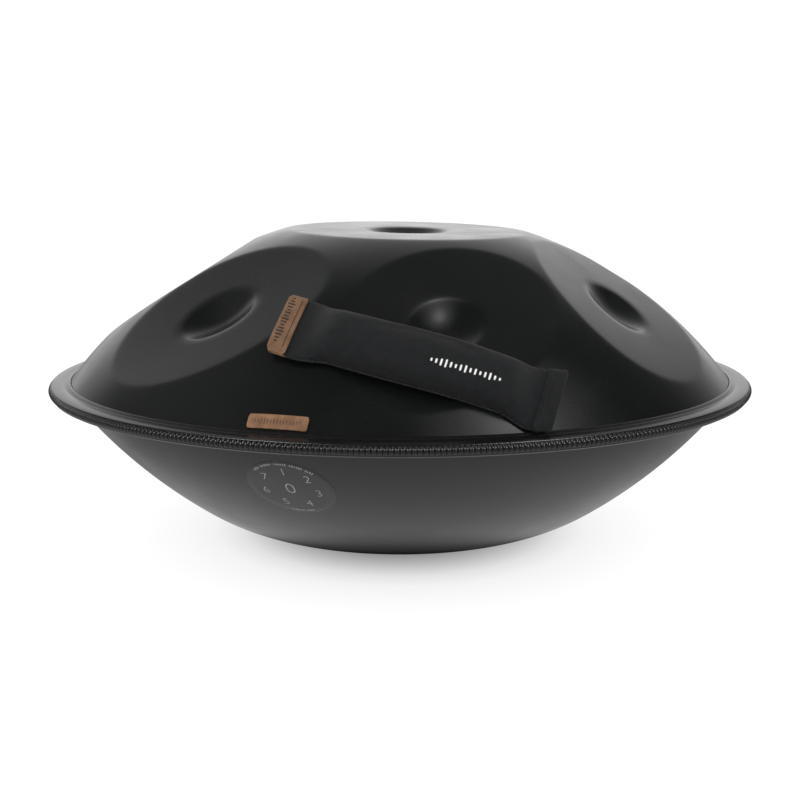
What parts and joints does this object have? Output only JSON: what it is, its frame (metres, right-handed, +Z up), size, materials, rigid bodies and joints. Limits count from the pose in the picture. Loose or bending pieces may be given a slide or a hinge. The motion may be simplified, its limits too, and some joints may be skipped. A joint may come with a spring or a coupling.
{
  "type": "handpan",
  "caption": "Steel handpan: two glued dished shells with hammered tone fields, a ribbed rubber rim trim and a port below; a narrow damper bag lies on the dome.",
  "frame": {"origin": "centre of the flat seat under the lower shell, at floor level", "axes": "+Z up along the shells' axis, -Y towards the player, +X to the right as the picture shows it"},
  "size_m": [0.545, 0.545, 0.2364],
  "materials": {
    "nitrided_steel": "satin",
    "epoxy": "satin",
    "trim_rubber": "satin",
    "clip_steel": "satin",
    "tan_leather": "matte",
    "clear_tape": "satin",
    "sticker_film": "satin",
    "sticker_ink": "matte",
    "black_cloth": "matte",
    "granulate": "matte",
    "black_thread": "matte",
    "brown_thread": "matte"
  },
  "bodies": {
    "pan": {"upper_shell": "nitrided_steel", "lower_shell": "nitrided_steel", "rim_adhesive": "epoxy", "edge_trim": "trim_rubber", "edge_trim_core": "clip_steel", "rim_label": "tan_leather", "rim_label_tape": "clear_tape", "note_sticker": "sticker_film", "note_sticker_print": "sticker_ink"},
    "damper_bag": {"bag_top_panel": "black_cloth", "bag_bottom_panel": "black_cloth", "bag_filling": "granulate", "bag_end_hem": "black_cloth", "bag_hem_stitching": "black_thread", "bag_edge_stitching": "black_thread", "bag_label": "tan_leather", "bag_label_stitching": "brown_thread"}
  },
  "joints": [
    {"name": "bag_lift", "type": "slide", "parent": "pan", "child": "damper_bag", "axis": [0, 0, 1], "range_m": [0, 0.16]}
  ]
}
